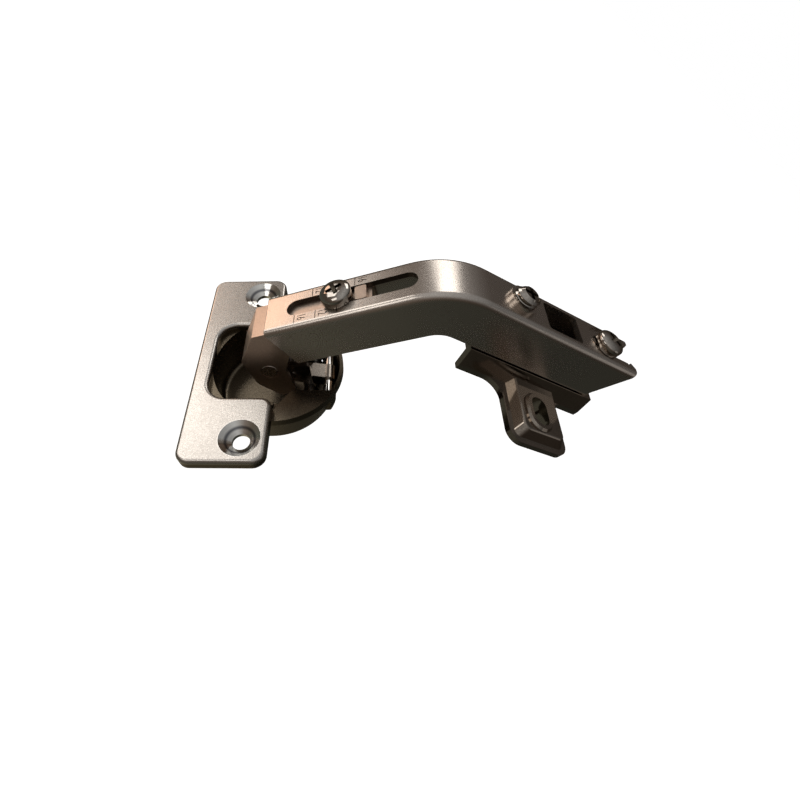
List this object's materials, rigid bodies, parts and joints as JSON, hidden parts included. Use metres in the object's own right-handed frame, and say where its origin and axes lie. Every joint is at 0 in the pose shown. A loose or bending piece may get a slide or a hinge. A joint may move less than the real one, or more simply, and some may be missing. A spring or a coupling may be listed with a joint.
{
  "type": "corner cabinet concealed hinge",
  "caption": "Concealed cabinet hinge for a corner door: cross mounting plate, cranked stamped arm with adjusting screws, sliding knuckle, link mechanism and screw-on cup.",
  "frame": {"origin": "on the mounting plate's seating face, midway between its two fixing slots", "axes": "+X back along the arm's rear leg, +Y along the pivot pins, +Z out of the plate's seating face"},
  "size_m": [0.0958, 0.0612, 0.0653],
  "materials": {
    "plate_steel": "bright nickel plating",
    "arm_steel": "satin nickel plating",
    "knuckle_steel": "satin nickel plating",
    "cup_steel": "satin nickel plating",
    "link_steel": "satin nickel plating",
    "screw_steel": "bright nickel plating",
    "pin_steel": "polished",
    "spring_steel": "drawn wire"
  },
  "bodies": {
    "plate": {"mounting_plate": "plate_steel"},
    "rear_screw": {"rear_clamp_screw": "screw_steel"},
    "arm": {"bent_arm": "arm_steel"},
    "side_screw": {"side_adjusting_screw": "screw_steel"},
    "knuckle": {"sliding_knuckle": "knuckle_steel", "link_rivet": "pin_steel", "rocker_pin": "pin_steel"},
    "overlay_screw": {"overlay_clamp_screw": "screw_steel"},
    "link": {"bowed_link": "link_steel"},
    "cup": {"hinge_cup": "cup_steel", "link_cup_pin": "pin_steel", "rocker_cup_pin": "pin_steel", "closing_springs": "spring_steel"},
    "rocker": {"rocker_link": "link_steel"}
  },
  "joints": [
    {"name": "rear_screw_turn", "type": "hinge", "parent": "plate", "child": "rear_screw", "pos_m": [0.0127, 0, 0.017], "axis": [0, 0, 1], "range_deg": [-360, 360]},
    {"name": "depth_slide", "type": "slide", "parent": "plate", "child": "arm", "axis": [1, 0, 0], "range_m": [-0.002, 0.002]},
    {"name": "side_screw_turn", "type": "hinge", "parent": "arm", "child": "side_screw", "pos_m": [-0.015, 0, 0.017], "axis": [0, 0, 1], "range_deg": [-360, 360]},
    {"name": "overlay_slide", "type": "slide", "parent": "arm", "child": "knuckle", "axis": [0.7071, 0, 0.7071], "range_m": [-0.009, 0.006]},
    {"name": "overlay_screw_turn", "type": "hinge", "parent": "knuckle", "child": "overlay_screw", "pos_m": [-0.05132, 0, -0.00082], "axis": [-0.7071, 0, 0.7071], "range_deg": [-360, 360]},
    {"name": "link_swing", "type": "hinge", "parent": "knuckle", "child": "link", "pos_m": [-0.05763, 0, -0.02587], "axis": [0, -1, 0], "range_deg": [-27, 25.92]},
    {"name": "cup_swing", "type": "hinge", "parent": "link", "child": "cup", "pos_m": [-0.04437, 0, -0.03067], "axis": [0, -1, 0], "range_deg": [-31.5, 30.3]},
    {"name": "rocker_swing", "type": "hinge", "parent": "cup", "child": "rocker", "pos_m": [-0.04178, 0, -0.02523], "axis": [0, -1, 0], "range_deg": [-9.5, 9.9]}
  ],
  "couplings": [
    {"joint": "cup_swing", "follows": "link_swing", "ratio": 1.0833},
    {"joint": "rocker_swing", "follows": "link_swing", "ratio": -0.3375}
  ]
}
